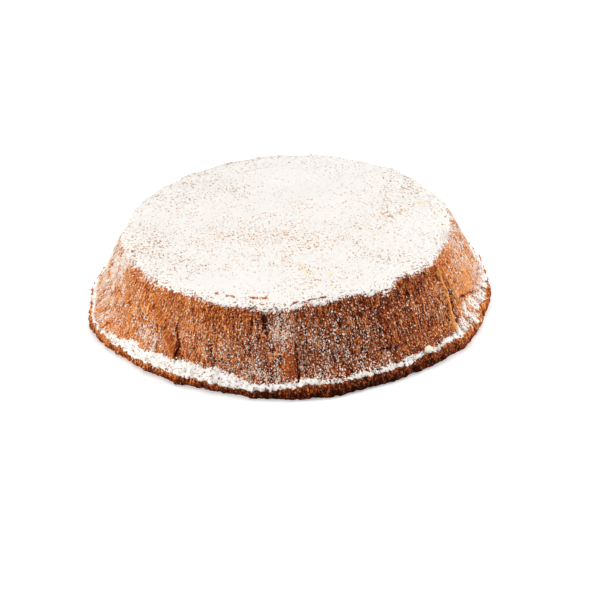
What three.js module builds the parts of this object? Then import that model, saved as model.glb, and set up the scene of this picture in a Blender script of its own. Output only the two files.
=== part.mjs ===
// Baked cassata: a closed shortcrust case, turned out of a flared tin so that its wide mouth is down.
// The whole cake is one solid. Millimetres, +Z up, with the origin on the table under its middle.
import * as THREE from "three";

const { degToRad, radToDeg, lerp, smoothstep } = THREE.MathUtils;

// Driving dimensions of the tin and of the crust that was pressed into it
const RIM_RADIUS = 120; // edge of the base crust, which stands proud of the wall
const RIM_HEIGHT = 8.4; // top of that edge
const RIM_BELLY = 3.4; // height where the edge is widest, and where it starts to round over
const RIM_BROW = 6.3;
const LIP_INSET = 2.4; // the rounding of the edge ends this far inside it
const FOOT_INSET = 4; // the flat that the cake stands on stops this far inside it
const LEDGE_RADIUS = 114.6; // foot of the wall
const LEDGE_HEIGHT = 12;
const SHOULDER_RADIUS = 101.2; // head of the wall, where the edge of the top starts to round over
const SHOULDER_HEIGHT = 44;
const SHOULDER_LEAN = 1.8; // how far the rounding leans in before it turns
const TOP_RADIUS = 93.5; // where the rounding ends
const TOP_HEIGHT = 48.6;
const DOME = 1.7; // rise of the top from its edge to its middle
const WALL_BELLY = 1.2; // outward curve of the wall at half its height

// The cake baked a little taller to its right and at the back: slope of the top, in mm for each mm
const TILT_RIGHT = 0.0167;
const TILT_BACK = 0.0124;

// Pleats pressed into the wall by the folded baking paper. Angles are in degrees, -90 being the front:
// foot and head of the fold, its rise there in mm, its width in mm, and the depth of the gap on its far side.
const PLEATS = [
  { foot: -172, head: -176, low: 0.8, high: 0.6, wide: 6, gap: 0.5 },
  { foot: -143, head: -154, low: 1.0, high: 1.3, wide: 6, gap: 0.7 },
  { foot: -125.5, head: -140.5, low: 2.4, high: 0.9, wide: 7, gap: 1.9 },
  { foot: -113.5, head: -119, low: 0.8, high: 0.2, wide: 4, gap: 0.7 },
  { foot: -89, head: -91, low: 2.4, high: 0.9, wide: 9, gap: 2.0 },
  { foot: -50, head: -48.8, low: 0.7, high: 0.5, wide: 5, gap: 0.5 },
  { foot: -35.4, head: -33.2, low: 1.7, high: 1.0, wide: 5, gap: 1.3 },
  { foot: -31, head: -27, low: 1.5, high: 0.8, wide: 4, gap: 1.0 },
  { foot: -3, head: -6, low: 1.6, high: 0.7, wide: 6, gap: 1.2 },
  { foot: 24, head: 17, low: 1.2, high: 1.0, wide: 7, gap: 0.8 },
  { foot: 51, head: 55, low: 2.2, high: 0.9, wide: 7, gap: 1.8 },
  { foot: 66, head: 70, low: 0.9, high: 0.5, wide: 5, gap: 0.7 },
  { foot: 97, head: 92, low: 1.5, high: 1.0, wide: 8, gap: 1.2 },
  { foot: 124, head: 131, low: 2.0, high: 1.1, wide: 7, gap: 1.6 },
  { foot: 156, head: 152, low: 1.4, high: 0.6, wide: 6, gap: 1.0 },
];
const STEEP_SIDE = 0.35; // width of a fold's far side, as a share of its near side
const GAP_PLACE = 0.6; // middle of the gap past the fold, and its spread, as shares of the fold's width
const GAP_SPREAD = 0.32;
const PANEL_FLATNESS = 0.34; // how far the panels between pleats go from round to flat
const EDGE_LOSS = 0.6; // share of the pleats' rise that is lost over the rounded edge

// Where the rim and the edge of the top swell, and where the ledge cuts deeper: angle, mm, spread in degrees
const RIM_BULGES = [
  { at: -161, by: 3.8, spread: 10 },
  { at: -84, by: 3.4, spread: 13 },
  { at: -36, by: 2.0, spread: 13 },
  { at: 33, by: 4.8, spread: 16 },
  { at: 70, by: 1.6, spread: 10 },
  { at: 106, by: 2.4, spread: 13 },
  { at: 148, by: 2.2, spread: 10 },
];
const TOP_BULGES = [
  { at: -155, by: 1.4, spread: 24 },
  { at: -72, by: -1.6, spread: 14 },
  { at: 22, by: -2.2, spread: 18 },
  { at: 92, by: 2.4, spread: 18 },
  { at: 132, by: 1.4, spread: 15 },
];
const DEEP_LEDGES = [
  { at: -122, by: 1.6, spread: 22 },
  { at: -12, by: 3.4, spread: 15 },
  { at: 80, by: 2.0, spread: 18 },
  { at: 180, by: -2.4, spread: 17 },
];
// Hollows that the paper left in the wall: angle and height of the middle, depth, half sizes across and up
const HOLLOWS = [
  { at: -95, z: 40, deep: 1.5, across: 6, up: 9 },
  { at: -93, z: 47, deep: 1.3, across: 4, up: 3 },
  { at: 40, z: 38, deep: 1.2, across: 7, up: 8 },
  { at: 140, z: 41, deep: 1.3, across: 6, up: 8 },
];

// Unevenness of the crust: first and last wave round the cake, and size in mm
const RIM_WOBBLE = { first: 9, last: 36, size: 0.45 };
const RIM_CRUMBLE = { first: 58, last: 96, size: 0.2 };
const LIP_CRUMBLE = { first: 14, last: 70, size: 0.35 };
const WALL_WOBBLE = { first: 8, last: 34, size: 0.35 };
const EDGE_WOBBLE = { first: 6, last: 40, size: 0.4 };
const WALL_WAVE_HEIGHT = 12; // the wall's waves change over this height
const TOP_WOBBLE = { waves: 7, length: 48, size: 0.3 };

// Heights over which one part of the section blends into the next
const WALL_HEAD_BLEND = 3;
const WALL_FOOT_BLEND = 3;
const RIM_BLEND = 6;
const LIP_REACH = 3;
const LEDGE_REACH = 4;

// Mesh: columns round the cake, and how much closer they stand at a pleat, over how many degrees
const COLUMNS = 232;
const GATHER = 0.5;
const GATHER_SPREAD = 4;

const GOLDEN = 0.6180339887;
const MM_PER_DEGREE = (degToRad(1) * (LEDGE_RADIUS + SHOULDER_RADIUS)) / 2;

// Signed turn from one angle to another, in degrees, the short way round
const turn = (from, to) => ((((to - from + 180) % 360) + 360) % 360) - 180;
const bell = (x) => Math.exp(-x * x);
const swell = (places, angle) =>
  places.reduce((sum, p) => sum + p.by * bell(turn(p.at, angle) / p.spread), 0);

// Waves round the cake with phases spread by the golden ratio; the sum has a mean square of size squared
function ripple({ first, last, size }, angle, seed, slant = 0) {
  let sum = 0;
  for (let wave = first; wave <= last; wave++) {
    const phase = 2 * Math.PI * ((wave * wave * GOLDEN + seed * GOLDEN * GOLDEN) % 1);
    sum += Math.sin(wave * degToRad(angle) + phase + slant * Math.cos(5 * phase));
  }
  return (size * sum) / Math.sqrt((last - first + 1) / 2);
}

// Slow waves across the top, each turned by the golden angle from the last
function topWaves(x, y) {
  let sum = 0;
  for (let wave = 1; wave <= TOP_WOBBLE.waves; wave++) {
    const heading = 2 * Math.PI * wave * GOLDEN;
    const along = x * Math.cos(heading) + y * Math.sin(heading);
    sum += Math.sin((2 * Math.PI * along) / TOP_WOBBLE.length + wave * wave);
  }
  return (TOP_WOBBLE.size * sum) / Math.sqrt(TOP_WOBBLE.waves / 2);
}

// The pleats on either side of a column, the share of the way from one to the next, and the gap in degrees
function panelAt(column) {
  const after = Math.max(PLEATS.findIndex((p) => p.foot > column), 0);
  const next = PLEATS[after];
  const last = PLEATS[(after + PLEATS.length - 1) % PLEATS.length];
  const gap = turn(last.foot, next.foot);
  return { last, next, gap, share: turn(last.foot, column) / gap };
}

// How far a column has turned at the head of the wall, eased from pleat to pleat
function leanAt(column) {
  const { last, next, share } = panelAt(column);
  const ease = smoothstep(share, 0, 1);
  return lerp(turn(last.foot, last.head), turn(next.foot, next.head), ease);
}

// How far a panel between two pleats falls inside the round outline: a share of its chord's sag
function panelSag(column) {
  const { gap, share } = panelAt(column);
  const sag = SHOULDER_RADIUS * (1 - Math.cos(degToRad(gap / 2)));
  return PANEL_FLATNESS * sag * 4 * share * (1 - share);
}

// Height of the pleats at a column: a slow rise, a steep far side and a narrow gap after it
function foldAt(column, up) {
  return PLEATS.reduce((sum, p) => {
    const x = turn(p.foot, column) * MM_PER_DEGREE;
    const rise = lerp(p.low, p.high, up);
    const side = x < 0 ? p.wide : p.wide * STEEP_SIDE;
    const gap = p.gap * (rise / Math.max(p.low, p.high));
    const gapBell = bell((x - GAP_PLACE * p.wide) / (GAP_SPREAD * p.wide));
    return sum + rise * bell(x / side) - gap * gapBell;
  }, 0);
}

function hollowAt(angle, z) {
  return HOLLOWS.reduce((sum, h) => {
    const across = (turn(h.at, angle) * MM_PER_DEGREE) / h.across;
    return sum + h.deep * bell(Math.hypot(across, (z - h.z) / h.up));
  }, 0);
}

// Columns of the mesh move towards the pleats, so that each fold has enough of them
function gathered(angle) {
  return PLEATS.reduce((moved, p) => {
    const away = turn(p.foot, angle);
    return moved - GATHER * away * bell(away / GATHER_SPREAD);
  }, angle);
}

// Where a point of the round half section, at a column, lies on the real cake
function baked(column, radius, height) {
  const up = smoothstep(height, LEDGE_HEIGHT, SHOULDER_HEIGHT + WALL_HEAD_BLEND);
  const wall = smoothstep(height, RIM_HEIGHT, LEDGE_HEIGHT + WALL_FOOT_BLEND);
  const rim = 1 - smoothstep(height, RIM_BROW, LEDGE_HEIGHT + RIM_BLEND);
  const lip = bell((height - RIM_HEIGHT) / LIP_REACH);
  const ledge = bell((height - LEDGE_HEIGHT) / LEDGE_REACH);
  const top = smoothstep(height, SHOULDER_HEIGHT, TOP_HEIGHT);
  const face = wall * (1 - EDGE_LOSS * top);
  const angle = column + leanAt(column) * up;

  let out = WALL_BELLY * Math.sin(Math.PI * up);
  out += rim * (swell(RIM_BULGES, angle) + ripple(RIM_WOBBLE, angle, 1) + ripple(RIM_CRUMBLE, angle, 2));
  out += up * (swell(TOP_BULGES, angle) + ripple(EDGE_WOBBLE, angle, 3));
  out += face * (foldAt(column, up) + ripple(WALL_WOBBLE, angle, 4, height / WALL_WAVE_HEIGHT));
  out -= wall * (panelSag(column) + hollowAt(angle, height));
  out -= ledge * swell(DEEP_LEDGES, angle);

  // On the foot and the top the offset fades to nothing at the middle
  const r = radius + out * Math.min(1, radius / TOP_RADIUS) ** 2;
  const x = r * Math.cos(degToRad(angle));
  const y = r * Math.sin(degToRad(angle));
  const taller = (TILT_RIGHT * x + TILT_BACK * y) * (height / TOP_HEIGHT);
  const uneven = top * topWaves(x, y) + lip * ripple(LIP_CRUMBLE, angle, 5);
  return new THREE.Vector3(x, y, height + taller + uneven);
}

// Half section of the cake, from the middle of the foot to the middle of the top, with steps for each stretch
function halfSection() {
  const point = (r, z) => new THREE.Vector2(r, z);
  const curve = (...points) => new THREE.QuadraticBezierCurve(...points);
  const line = (...points) => new THREE.LineCurve(...points);
  const middle = point(0, 0);
  const foot = point(RIM_RADIUS - FOOT_INSET, 0);
  const belly = point(RIM_RADIUS, RIM_BELLY);
  const brow = point(RIM_RADIUS, RIM_BROW);
  const lip = point(RIM_RADIUS - LIP_INSET, RIM_HEIGHT);
  const ledge = point(LEDGE_RADIUS, LEDGE_HEIGHT);
  const shoulder = point(SHOULDER_RADIUS, SHOULDER_HEIGHT);
  const top = point(TOP_RADIUS, TOP_HEIGHT);
  const crown = point(0, TOP_HEIGHT + DOME);
  const stretches = [
    [line(middle, foot), 1],
    [curve(foot, point(RIM_RADIUS, 0), belly), 2],
    [line(belly, brow), 1],
    [curve(brow, point(RIM_RADIUS, RIM_HEIGHT), lip), 2],
    [line(lip, ledge), 2],
    [line(ledge, shoulder), 8],
    [curve(shoulder, point(SHOULDER_RADIUS - SHOULDER_LEAN, TOP_HEIGHT), top), 4],
    [curve(top, point(TOP_RADIUS / 2, TOP_HEIGHT + DOME), crown), 4],
  ];
  return [middle, ...stretches.flatMap(([path, steps]) => path.getPoints(steps).slice(1))];
}

function cakeGeometry() {
  const geometry = new THREE.LatheGeometry(halfSection(), COLUMNS).rotateX(Math.PI / 2);
  const place = geometry.getAttribute("position");
  for (let i = 0; i < place.count; i++) {
    const x = place.getX(i);
    const y = place.getY(i);
    const column = turn(0, gathered(radToDeg(Math.atan2(y, x))));
    const moved = baked(column, Math.hypot(x, y), place.getZ(i));
    place.setXYZ(i, moved.x, moved.y, moved.z);
  }
  geometry.computeBoundingBox();
  const middle = geometry.boundingBox.getCenter(new THREE.Vector3());
  geometry.translate(-middle.x, -middle.y, 0);
  geometry.computeVertexNormals();
  return geometry;
}

const crust = new THREE.MeshStandardMaterial({
  color: new THREE.Color().setRGB(0.66, 0.37, 0.18, THREE.SRGBColorSpace),
  roughness: 0.85,
  metalness: 0,
});

const cake = new THREE.Mesh(cakeGeometry(), crust);
cake.name = "cake";

const cassata = new THREE.Group();
cassata.add(cake);

export default cassata;
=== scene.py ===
import bpy
import numpy as np
from mathutils import Matrix, Vector


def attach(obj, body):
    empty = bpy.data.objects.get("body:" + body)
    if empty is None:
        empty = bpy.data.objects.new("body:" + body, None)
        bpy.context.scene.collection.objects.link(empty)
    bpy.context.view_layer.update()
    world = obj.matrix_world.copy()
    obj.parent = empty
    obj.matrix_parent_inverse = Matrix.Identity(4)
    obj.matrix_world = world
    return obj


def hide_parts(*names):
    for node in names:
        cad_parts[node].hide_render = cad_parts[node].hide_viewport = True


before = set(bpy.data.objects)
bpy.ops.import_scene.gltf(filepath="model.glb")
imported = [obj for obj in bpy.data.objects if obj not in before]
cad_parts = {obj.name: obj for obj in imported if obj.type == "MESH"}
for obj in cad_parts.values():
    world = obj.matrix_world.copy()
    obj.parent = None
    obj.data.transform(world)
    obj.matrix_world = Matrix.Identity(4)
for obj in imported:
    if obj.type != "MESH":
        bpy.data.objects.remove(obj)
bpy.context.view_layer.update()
mm = 0.001

# Half section of the case, in millimetres: the same sizes as the solid
caseShape = {
    "rimRadius": 120.0, "rimHeight": 8.4, "rimBelly": 3.4, "rimBrow": 6.3,
    "lipInset": 2.4, "footInset": 4.0,
    "ledgeRadius": 114.6, "ledgeHeight": 12.0,
    "shoulderRadius": 101.2, "shoulderHeight": 44.0, "shoulderLean": 1.8,
    "topRadius": 93.5, "topHeight": 48.6, "dome": 1.7, "wallBelly": 1.2,
    "tiltRight": 0.0167, "tiltBack": 0.0124,
    "headBlend": 3.0, "footBlend": 3.0, "rimBlend": 6.0, "lipReach": 3.0, "ledgeReach": 4.0,
}

# Folds left by the baking paper: foot and head in degrees (front at -90), rise at each, width, gap beside it
pleats = np.array([
    (-172, -176, 0.8, 0.6, 6, 0.5),
    (-143, -154, 1.0, 1.3, 6, 0.7),
    (-125.5, -140.5, 2.4, 0.9, 7, 1.9),
    (-113.5, -119, 0.8, 0.2, 4, 0.7),
    (-89, -91, 2.4, 0.9, 9, 2.0),
    (-50, -48.8, 0.7, 0.5, 5, 0.5),
    (-35.4, -33.2, 1.7, 1.0, 5, 1.3),
    (-31, -27, 1.5, 0.8, 4, 1.0),
    (-3, -6, 1.6, 0.7, 6, 1.2),
    (24, 17, 1.2, 1.0, 7, 0.8),
    (51, 55, 2.2, 0.9, 7, 1.8),
    (66, 70, 0.9, 0.5, 5, 0.7),
    (97, 92, 1.5, 1.0, 8, 1.2),
    (124, 131, 2.0, 1.1, 7, 1.6),
    (156, 152, 1.4, 0.6, 6, 1.0),
])
foldShape = {"steepSide": 0.35, "gapPlace": 0.6, "gapSpread": 0.32, "flatness": 0.34, "edgeLoss": 0.6}

# Swellings: angle, mm, spread in degrees
rimBulges = [(-161, 3.8, 10), (-84, 3.4, 13), (-36, 2.0, 13), (33, 4.8, 16), (70, 1.6, 10), (106, 2.4, 13),
             (148, 2.2, 10)]
topBulges = [(-155, 1.4, 24), (-72, -1.6, 14), (22, -2.2, 18), (92, 2.4, 18), (132, 1.4, 15)]
deepLedges = [(-122, 1.6, 22), (-12, 3.4, 15), (80, 2.0, 18), (180, -2.4, 17)]
# Hollows in the wall: angle, height, depth, half width and half height in mm
hollows = [(-95, 40, 1.5, 6, 9), (-93, 47, 1.3, 4, 3), (40, 38, 1.2, 7, 8), (140, 41, 1.3, 6, 8)]

# Unevenness: first wave, last wave, size in mm, number that sets the phases
rimWobble, rimCrumble, edgeWobble = (9, 36, 0.45, 1), (58, 96, 0.2, 2), (6, 40, 0.4, 3)
wallWobble, lipCrumble = (8, 34, 0.35, 4), (14, 70, 0.35, 5)
wallWaveHeight, slantTurns = 12.0, 5
topWobble = {"waves": 7, "length": 48.0, "size": 0.3}

golden = 0.6180339887  # steps of this share of a turn never line up
meanRadius = (caseShape["ledgeRadius"] + caseShape["shoulderRadius"]) / 2
mmPerDegree = np.radians(meanRadius)


def turn(start, end):  # signed turn in degrees, the short way round
    return (end - start + 180) % 360 - 180


def bell(x):  # exp(-x^2)
    return np.exp(-x * x)


def ease(x, low, high):  # 0 below low, 1 above high, 3t^2 - 2t^3 between
    t = np.clip((x - low) / (high - low), 0, 1)
    return t * t * (3 - 2 * t)


# 1 between two ends and 0 past them: eases in and out over a stretch given from each end
def within(x, low, high, fadeIn, fadeOut):
    return ease(x, low + fadeIn[0], low + fadeIn[1]) * (1 - ease(x, high + fadeOut[0], high + fadeOut[1]))


# Sum of steps: each adds its amount as a number eases from low to high
def rises(x, *parts):
    return sum(by * ease(x, low, high) for by, low, high in parts)


# Sum of bells about angles: where, how much, spread in degrees
def swell(places, angle):
    return sum(by * bell(turn(at, angle) / spread) for at, by, spread in places)


# Sum of bells about points of the wall: angle, height, how much, half width and half height in mm
def patchSum(patches, angle, height):
    return sum(by * bell(np.hypot(turn(at, angle) * mmPerDegree / across, (height - z) / high))
               for at, z, by, across, high in patches)


# Number at an angle, straight between stops given round the cake
def readRound(stops, angle):
    return np.interp(turn(0, angle), *zip(*stops))


# Sum of sines of the angle, from the first wave to the last, with phases spread by the golden ratio
def ripple(waves, angle, slant=0):
    first, last, size, seed = waves
    total = np.zeros(np.shape(angle))
    for wave in range(first, last + 1):
        phase = 2 * np.pi * ((wave * wave * golden + seed * golden * golden) % 1)
        total += np.sin(wave * np.radians(angle) + phase + slant * np.cos(slantTurns * phase))
    return size * total / np.sqrt((last - first + 1) / 2)


# Sum of plane waves across the top, each turned by the golden angle from the last
def topWaves(x, y):
    total = np.zeros(np.shape(x))
    for wave in range(1, topWobble["waves"] + 1):
        heading = 2 * np.pi * wave * golden
        along = x * np.cos(heading) + y * np.sin(heading)
        total += np.sin(2 * np.pi * along / topWobble["length"] + wave * wave)
    return topWobble["size"] * total / np.sqrt(topWobble["waves"] / 2)


# Random numbers on a cubic lattice, with shifts that keep the seeds, axes and octaves of the noise apart
lattice = {"side": 53, "seed": 7, "seedShift": 17.3, "axisShift": 5.1, "octaveShift": 3.7, "gain": 1.6}
latticeTable = np.random.default_rng(lattice["seed"]).random((lattice["side"],) * 3) * 2 - 1


# Value noise about 0: the lattice's numbers, blended smoothly between corners, in octaves of half the size.
# Each noise is its amount, its length in mm, its stretch along z, its seed and its octaves
def grain(noises, x, y, z):
    side, total = lattice["side"], 0
    for amount, length, stretch, seed, octaves in noises:
        shares = 0.5 ** np.arange(octaves)
        for octave, share in enumerate(amount * lattice["gain"] * shares / shares.sum()):
            shift = lattice["seedShift"] * seed + lattice["octaveShift"] * octave
            corner, blend = [], []
            for axis, place in enumerate((x, y, z / stretch)):
                place = np.asarray(place) * (2 ** octave / length) + shift + lattice["axisShift"] * axis
                low = np.floor(place).astype(int)
                corner.append((low % side, (low + 1) % side))
                blend.append(ease(place - low, 0, 1))
            for i, j, k in np.ndindex(2, 2, 2):
                part = [b if far else 1 - b for far, b in zip((i, j, k), blend)]
                value = latticeTable[corner[0][i], corner[1][j], corner[2][k]]
                total = total + share * value * part[0] * part[1] * part[2]
    return total


# The pleats on either side of a column, the share of the way between them, and the gap in degrees
def panelOf(column):
    foot = pleats[:, 0]
    after = np.searchsorted(foot, column, side="right") % len(foot)
    last = (after - 1) % len(foot)
    gap = turn(foot[last], foot[after])
    return last, after, turn(foot[last], column) / gap, gap


# Height of the pleats: a slow rise, a steep far side and a narrow gap after it
def foldHeight(column, up):
    total = 0
    for foot, low, high, wide, gap in pleats[:, [0, 2, 3, 4, 5]]:
        x = turn(foot, column) * mmPerDegree
        rise = low + (high - low) * up
        side = np.where(x < 0, wide, wide * foldShape["steepSide"])
        gapBell = bell((x - foldShape["gapPlace"] * wide) / (foldShape["gapSpread"] * wide))
        total = total + rise * bell(x / side) - gap * rise / max(low, high) * gapBell
    return total


# Half section as a fine polyline, from the middle of the foot to the middle of the top
def halfSection(steps=119):
    shape = caseShape
    t = np.linspace(0, 1, steps + 1)[:, None]

    def line(a, b):  # straight: a + (b - a)t
        return a + (b - a) * t

    def curve(a, b, c):  # quadratic: a(1-t)^2 + 2bt(1-t) + ct^2
        return a * (1 - t) ** 2 + 2 * b * t * (1 - t) + c * t * t

    def point(r, z):  # distance from the axis, and height
        return np.array((r, z), float)

    rim, head = shape["rimRadius"], shape["topHeight"]
    foot, belly = point(rim - shape["footInset"], 0), point(rim, shape["rimBelly"])
    brow, lip = point(rim, shape["rimBrow"]), point(rim - shape["lipInset"], shape["rimHeight"])
    ledge = point(shape["ledgeRadius"], shape["ledgeHeight"])
    shoulder = point(shape["shoulderRadius"], shape["shoulderHeight"])
    top, crown = point(shape["topRadius"], head), point(0, head + shape["dome"])
    stretches = {
        "foot": line(point(0, 0), foot),
        "belly": curve(foot, point(rim, 0), belly),
        "brow": line(belly, brow),
        "lip": curve(brow, point(rim, shape["rimHeight"]), lip),
        "ledge": line(lip, ledge),
        "shoulder": line(ledge, shoulder),
        "top": curve(shoulder, point(shape["shoulderRadius"] - shape["shoulderLean"], head), top),
        "crown": curve(top, point(shape["topRadius"] / 2, head + shape["dome"]), crown),
    }
    points = np.concatenate([stretches["foot"][:1]] + [path[1:] for path in stretches.values()])
    along = np.concatenate([[0], np.cumsum(np.linalg.norm(np.diff(points, axis=0), axis=1))])
    marks = {name: along[(number + 1) * steps] for number, name in enumerate(stretches)}
    return points[:, 0], points[:, 1], along, marks


sectionRadius, sectionHeight, sectionAlong, mark = halfSection()


# Height of the half section so far along it, straight between its points
def heightAt(along):
    return np.interp(along, sectionAlong, sectionHeight)


def wallShare(height):  # 0 at the ledge, 1 where the wall turns over to the top
    return ease(height, caseShape["ledgeHeight"], caseShape["shoulderHeight"] + caseShape["headBlend"])


# Where a point at a column, so far along the half section, lies about the axis (mm, before fine relief)
def turned(column, along):
    shape = caseShape
    radius, height = np.interp(along, sectionAlong, sectionRadius), heightAt(along)
    up = wallShare(height)
    wall = ease(height, shape["rimHeight"], shape["ledgeHeight"] + shape["footBlend"])
    rim = 1 - ease(height, shape["rimBrow"], shape["ledgeHeight"] + shape["rimBlend"])
    lip = bell((height - shape["rimHeight"]) / shape["lipReach"])
    ledge = bell((height - shape["ledgeHeight"]) / shape["ledgeReach"])
    top = ease(height, shape["shoulderHeight"], shape["topHeight"])
    face = wall * (1 - foldShape["edgeLoss"] * top)

    column = turn(0, column)
    last, after, share, gap = panelOf(column)
    leans = turn(pleats[:, 0], pleats[:, 1])
    lean = leans[last] + (leans[after] - leans[last]) * ease(share, 0, 1)
    angle = column + lean * up
    chord = shape["shoulderRadius"] * (1 - np.cos(np.radians(gap / 2)))
    sag = foldShape["flatness"] * chord * 4 * share * (1 - share)  # a parabola between the pleats

    out = shape["wallBelly"] * np.sin(np.pi * up)
    out = out + rim * (swell(rimBulges, angle) + ripple(rimWobble, angle) + ripple(rimCrumble, angle))
    out = out + up * (swell(topBulges, angle) + ripple(edgeWobble, angle))
    out = out + face * (foldHeight(column, up) + ripple(wallWobble, angle, height / wallWaveHeight))
    out = out - wall * (sag + patchSum(hollows, angle, height)) - ledge * swell(deepLedges, angle)

    r = radius + out * np.minimum(1, radius / shape["topRadius"]) ** 2
    x, y = r * np.cos(np.radians(angle)), r * np.sin(np.radians(angle))
    taller = (shape["tiltRight"] * x + shape["tiltBack"] * y) * height / shape["topHeight"]
    uneven = top * topWaves(x, y) + lip * ripple(lipCrumble, angle)
    return np.stack([x, y, height + taller + uneven], -1), angle


# Middle of the turned case's box, seen from above: the solid has it at its origin
def middleOfBox(degrees=0.5, steps=160):
    column, along = np.meshgrid(np.arange(-180, 180, degrees), np.linspace(0, mark["top"], steps))
    place = turned(column, along)[0].reshape(-1, 3)
    return (place.min(0) + place.max(0)) / 2 * (1, 1, 0)


boxMiddle = middleOfBox()
print("axis at", (-boxMiddle[:2]).round(3), "mm")


# The turned case in the part's own frame
def baked(column, along):
    place, angle = turned(column, along)
    return place - boxMiddle, angle


# Outward unit normal of the baked case, from the cross product of short steps (mm) round it and up it
def outward(column, along, step=0.35):
    side = baked(column + step / mmPerDegree, along)[0] - baked(column - step / mmPerDegree, along)[0]
    rise = baked(column, along + step)[0] - baked(column, along - step)[0]
    normal = np.cross(side, rise)
    return normal / np.maximum(np.linalg.norm(normal, axis=-1, keepdims=True), 1e-9)


# Streaks that lean to the right as they rise: angle, degrees for each mm, spread in degrees
streakSlant = [(-162, 0.2, 16), (-137, 0.1, 8)]
slantReach = 45  # mm up the wall over which they lean


# A point's place on a plain cylinder, in mm: round it by its angle, less the slant, and up it by its way
def fallLine(angle, along):
    up = along - mark["ledge"]
    a = np.radians(angle - swell(streakSlant, angle) * np.clip(up, 0, slantReach))
    return meanRadius * np.cos(a), meanRadius * np.sin(a), up


# Fine cracks in the wall: depth and half width in mm, then the angle and the height of points along each
cracks = [(0.9, 0.5, [(-71.5, 38.8), (-66.5, 37.6)]), (0.7, 0.6, [(-65.5, 17.4), (-54.5, 16.9)]),
          (1.1, 0.65, [(-31.6, 21.6), (-30.4, 23.0), (-25.3, 21.8), (-19.7, 18.4), (-12.2, 11.8),
                       (-9.5, 10.4)]),
          (0.7, 0.7, [(58, 20), (70, 21)]), (0.6, 0.6, [(108, 36), (118, 35)])]
crackWander, crackFades = [(0.7, 4, 1, 9, 1)], ((0, 1), (-1, 0))

# Smooth strips that rubbed bare on the paper: foot and head in degrees, half width, strength, lowest and
# highest mm
bareStrips = [(-143.5, -156, 2.0, 0.9, 13, 46), (-125.6, -138.6, 2.6, 0.62, 11, 46),
              (-122.6, -123.4, 1.6, 0.6, 13, 30), (-90.6, -91.6, 3.0, 0.9, 10, 27),
              (-50.2, -48.9, 1.0, 0.6, 14, 42), (-35.6, -33.4, 1.5, 0.8, 8, 48),
              (-29.8, -31.0, 1.1, 0.7, 17, 48), (-18.5, -18.5, 9.0, 0.8, 19, 32),
              (22.5, 15.5, 2.6, 0.8, 12, 47), (49.6, 53.4, 2.8, 0.9, 12, 47),
              (95.5, 90.5, 2.6, 0.8, 12, 47), (122.5, 129.5, 2.8, 0.9, 12, 47),
              (154.6, 150.6, 2.4, 0.8, 12, 47)]
stripFades = (-1, 4), (-5, 1)

# Low swellings of the crust: angle, height, rise, half width and half height in mm
bumps = [(-90.6, 19, 0.9, 2.6, 7), (-18.5, 26, 1.0, 9, 7)]

# Thin ridges from creases in the paper, and crevices beside its folds: foot and head in degrees, lowest and
# highest mm, rise or depth, half width in mm
ridges = [(-116.4, -118.4, 17, 31, 0.3, 0.5), (-114.9, -116.8, 17, 30, 0.25, 0.5),
          (-50.7, -49.4, 15, 40, 0.35, 0.5), (-49.4, -48.0, 15, 36, 0.3, 0.5),
          (-35.6, -33.4, 9, 48, 0.5, 1.3), (-29.8, -31.0, 17, 48, 0.6, 1.0), (-3.5, -6.5, 18, 46, 0.5, 0.8),
          (20, 14, 13, 46, 0.4, 0.7), (50, 54, 12, 46, 0.5, 0.8), (65, 69, 14, 40, 0.35, 0.6),
          (123, 130, 12, 46, 0.5, 0.8), (127, 134, 16, 46, 0.35, 0.6), (155, 151, 13, 46, 0.4, 0.7)]
crevices = [(-170.5, -174, 14, 40, 0.4, 0.7), (-124.9, -127.9, 9, 35, 1.2, 0.7),
            (-88.4, -89.2, 8, 33, 0.9, 0.8), (-94.4, -98.6, 35, 48, 1.0, 0.9),
            (-33.3, -32.2, 13, 46, 0.9, 1.3), (-29.6, -25.6, 17, 38, 0.7, 0.6),
            (-1.4, -4.4, 15, 38, 0.7, 0.8), (52.6, 55.6, 12, 34, 0.9, 0.8), (98.4, 94, 12, 36, 0.7, 0.8),
            (125.6, 131, 12, 33, 0.9, 0.8), (157.3, 154, 13, 34, 0.6, 0.7)]
lineWander, wanderDegrees = [(0.6, 5, 1, 31, 1)], 6
lineFades = (-2, 3), (-6, 0)


# How bare the crust is, 0 to 1: flat-topped bells across each strip, between its lowest and its highest point
def bareness(angle, height):
    total = 0
    for foot, head, half, strength, lowest, highest in bareStrips:
        middle = foot + turn(foot, head) * wallShare(height)
        across = turn(middle, angle) * mmPerDegree / half
        total = total + strength * np.exp(-across ** 4) * within(height, lowest, highest, *stripFades)
    return np.clip(total, 0, 1)


# Sum of narrow lines down the wall, in mm: a bell across each, which wanders and fades at both ends
def lineHeights(lines, angle, height):
    wander = grain(lineWander, angle / wanderDegrees, height, 0)
    total = 0
    for foot, head, lowest, highest, size, half in lines:
        middle = foot + turn(foot, head) * wallShare(height)
        across = turn(middle, angle) * mmPerDegree + wander
        total = total + size * within(height, lowest, highest, *lineFades) * bell(across / half)
    return total


# Depth of the cracks, in mm: a bell across each wandering line
def crackDepth(along, angle):
    x, y = fallLine(angle, along)[:2]
    height = heightAt(along) - grain(crackWander, x, y, 0)
    total = 0
    for deep, half, line in cracks:
        at, z = zip(*line)
        share = within(angle, at[0], at[-1], *crackFades)
        total = total + deep * share * bell((height - np.interp(angle, at, z)) / half)
    return total


# What marks the wall: how bare it is, 0 to 1, then its ridges, crevices and cracks in mm
def wallMarks(along, angle):
    height = heightAt(along)
    lines = [lineHeights(each, angle, height) for each in (ridges, crevices)]
    return bareness(angle, height), *lines, crackDepth(along, angle)


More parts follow.
